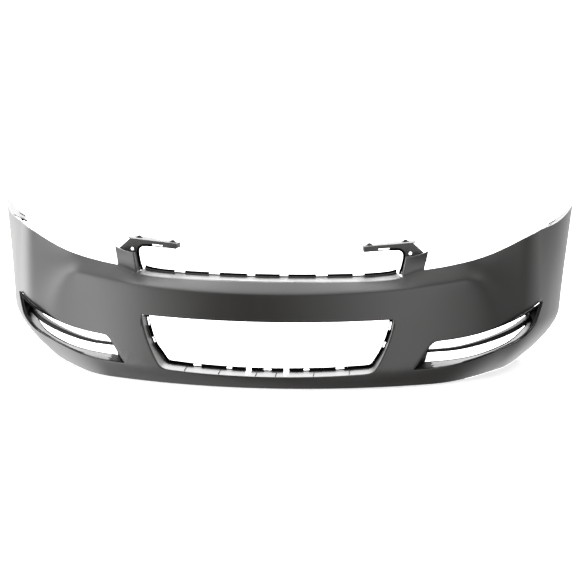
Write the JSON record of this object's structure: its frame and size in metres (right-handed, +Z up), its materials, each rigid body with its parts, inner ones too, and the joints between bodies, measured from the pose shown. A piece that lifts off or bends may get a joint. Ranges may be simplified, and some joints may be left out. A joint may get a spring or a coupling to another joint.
{
  "type": "front bumper cover",
  "caption": "Wide curved front bumper cover with swept wings, a lower grille opening, side vents with blades, towers with top arms, and push-in retainers with sliding centre pins.",
  "frame": {"origin": "middle of the cover's width and depth, on its level lower edge", "axes": "+X to the vehicle's left wing tip, -Y out of the front face, +Z up"},
  "size_m": [1.8284, 0.6581, 0.4923],
  "materials": {
    "skin": "smooth primed plastic with a soft sheen",
    "trim": "fine-grained unpainted plastic",
    "ledge": "smooth unpainted plastic",
    "flange": "smooth unpainted plastic",
    "blade": "black unpainted plastic",
    "fastener": "black nylon",
    "spring_steel": "black coated spring steel"
  },
  "bodies": {
    "cover": {"cover_skin": "skin", "left_grille_tower": "skin", "right_grille_tower": "skin", "left_upper_arm": "trim", "right_upper_arm": "trim", "upper_grille_ledge": "ledge", "lower_grille_ledge": "ledge", "left_vent_bezel": "trim", "right_vent_bezel": "trim", "left_vent_blade": "blade", "right_vent_blade": "blade", "left_fender_flange": "flange", "right_fender_flange": "flange", "left_arch_flange": "flange", "right_arch_flange": "flange", "lower_edge_flange": "flange", "left_fender_nuts": "spring_steel", "right_fender_nuts": "spring_steel", "left_outer_retainer": "fastener", "left_inner_retainer": "fastener", "right_outer_retainer": "fastener", "right_inner_retainer": "fastener"},
    "left_outer_pin": {"left_outer_pin": "fastener"},
    "left_inner_pin": {"left_inner_pin": "fastener"},
    "right_outer_pin": {"right_outer_pin": "fastener"},
    "right_inner_pin": {"right_inner_pin": "fastener"}
  },
  "joints": [
    {"name": "left_outer_pin_pull", "type": "slide", "parent": "cover", "child": "left_outer_pin", "axis": [-0.0865, -0.0104, 0.9962], "range_m": [0, 0.008]},
    {"name": "left_inner_pin_pull", "type": "slide", "parent": "cover", "child": "left_inner_pin", "axis": [-0.0865, -0.0104, 0.9962], "range_m": [0, 0.008]},
    {"name": "right_outer_pin_pull", "type": "slide", "parent": "cover", "child": "right_outer_pin", "axis": [0.0865, -0.0104, 0.9962], "range_m": [0, 0.008]},
    {"name": "right_inner_pin_pull", "type": "slide", "parent": "cover", "child": "right_inner_pin", "axis": [0.0865, -0.0104, 0.9962], "range_m": [0, 0.008]}
  ]
}
